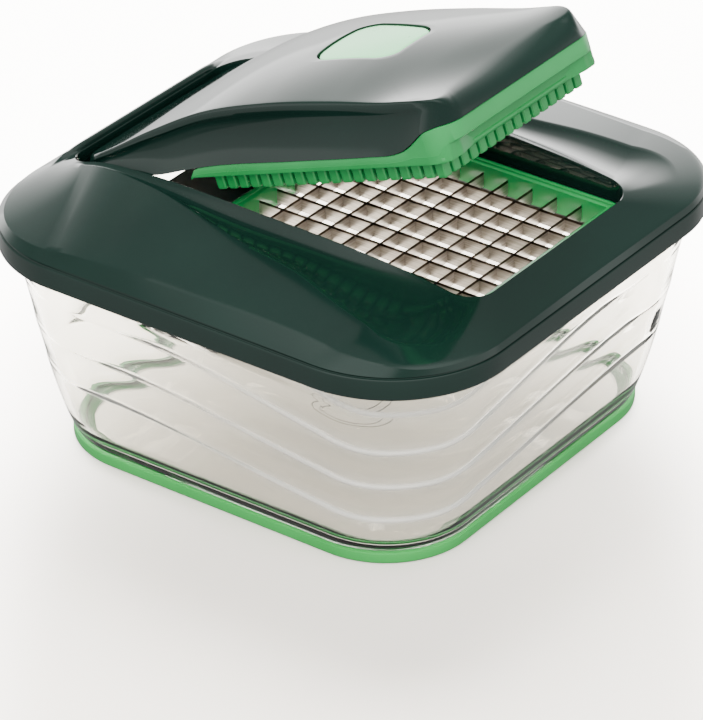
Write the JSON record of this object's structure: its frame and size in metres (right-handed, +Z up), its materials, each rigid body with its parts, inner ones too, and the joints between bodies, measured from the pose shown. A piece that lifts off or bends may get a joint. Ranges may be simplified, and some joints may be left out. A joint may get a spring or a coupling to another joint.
{
  "type": "vegetable dicer",
  "caption": "Hand-lever vegetable dicer: a hinged pressing lever with a pin stamp, a blade grid in a square cover, and a clear catching container.",
  "frame": {"origin": "middle of the foot ring's underside, on the surface it stands on", "axes": "+Z up, +Y to the back where the lever is hinged, +X to the right seen from the front"},
  "size_m": [0.236, 0.236, 0.1873],
  "materials": {
    "clear_plastic": "clear moulded plastic, polished",
    "ring_green": "soft-touch elastomer, satin",
    "cover_green": "dark green ABS, high gloss",
    "frame_dark": "dark green moulded plastic, satin",
    "insert_green": "mid green moulded plastic, semi-gloss",
    "stamp_green": "mid green moulded plastic, semi-gloss",
    "button_mint": "pale mint moulded plastic, semi-gloss",
    "blade_steel": "stainless strip, fine ground",
    "pin_steel": "stainless pin",
    "spring_steel": "drawn spring wire",
    "latch_plastic": "acetal, natural"
  },
  "bodies": {
    "container": {"container": "clear_plastic", "base_ring": "ring_green"},
    "cover": {"cover_shell": "cover_green", "seat_frame": "frame_dark", "blade_frame_upper": "insert_green", "blade_frame_lower": "insert_green", "hinge_pin_left": "pin_steel", "hinge_pin_right": "pin_steel", "cross_blade_1": "blade_steel", "cross_blade_2": "blade_steel", "cross_blade_3": "blade_steel", "cross_blade_4": "blade_steel", "cross_blade_5": "blade_steel", "cross_blade_6": "blade_steel", "cross_blade_7": "blade_steel", "cross_blade_8": "blade_steel", "cross_blade_9": "blade_steel", "long_blade_1": "blade_steel", "long_blade_2": "blade_steel", "long_blade_3": "blade_steel", "long_blade_4": "blade_steel", "long_blade_5": "blade_steel", "long_blade_6": "blade_steel", "long_blade_7": "blade_steel"},
    "lever": {"lever_shell": "cover_green", "lever_base": "frame_dark", "stamp": "stamp_green", "cleaning_grid": "stamp_green", "button_spring": "spring_steel", "latch_spring_left": "spring_steel", "latch_spring_right": "spring_steel"},
    "button": {"push_button": "button_mint"},
    "latch_left": {"latch_slide_left": "latch_plastic"},
    "latch_right": {"latch_slide_right": "latch_plastic"}
  },
  "joints": [
    {"name": "cover_lift", "type": "slide", "parent": "container", "child": "cover", "axis": [0, 0, 1], "range_m": [0, 0.12]},
    {"name": "lever_hinge", "type": "hinge", "parent": "cover", "child": "lever", "pos_m": [0, 0.0796, 0.0962], "axis": [-1, 0, 0], "range_deg": [-20.1, 55]},
    {"name": "button_press", "type": "slide", "parent": "lever", "child": "button", "axis": [0, -0.3437, -0.9391], "range_m": [0, 0.003], "stiffness_N_per_m": 400, "springref_m": -0.002, "deforming": ["button_spring"]},
    {"name": "latch_left_slide", "type": "slide", "parent": "lever", "child": "latch_left", "axis": [1, 0, 0], "range_m": [0, 0.002], "deforming": ["latch_spring_left"]},
    {"name": "latch_right_slide", "type": "slide", "parent": "lever", "child": "latch_right", "axis": [-1, 0, 0], "range_m": [0, 0.002], "deforming": ["latch_spring_right"]}
  ],
  "couplings": [
    {"joint": "latch_left_slide", "follows": "button_press", "ratio": 0.6666},
    {"joint": "latch_right_slide", "follows": "button_press", "ratio": 0.6666}
  ]
}
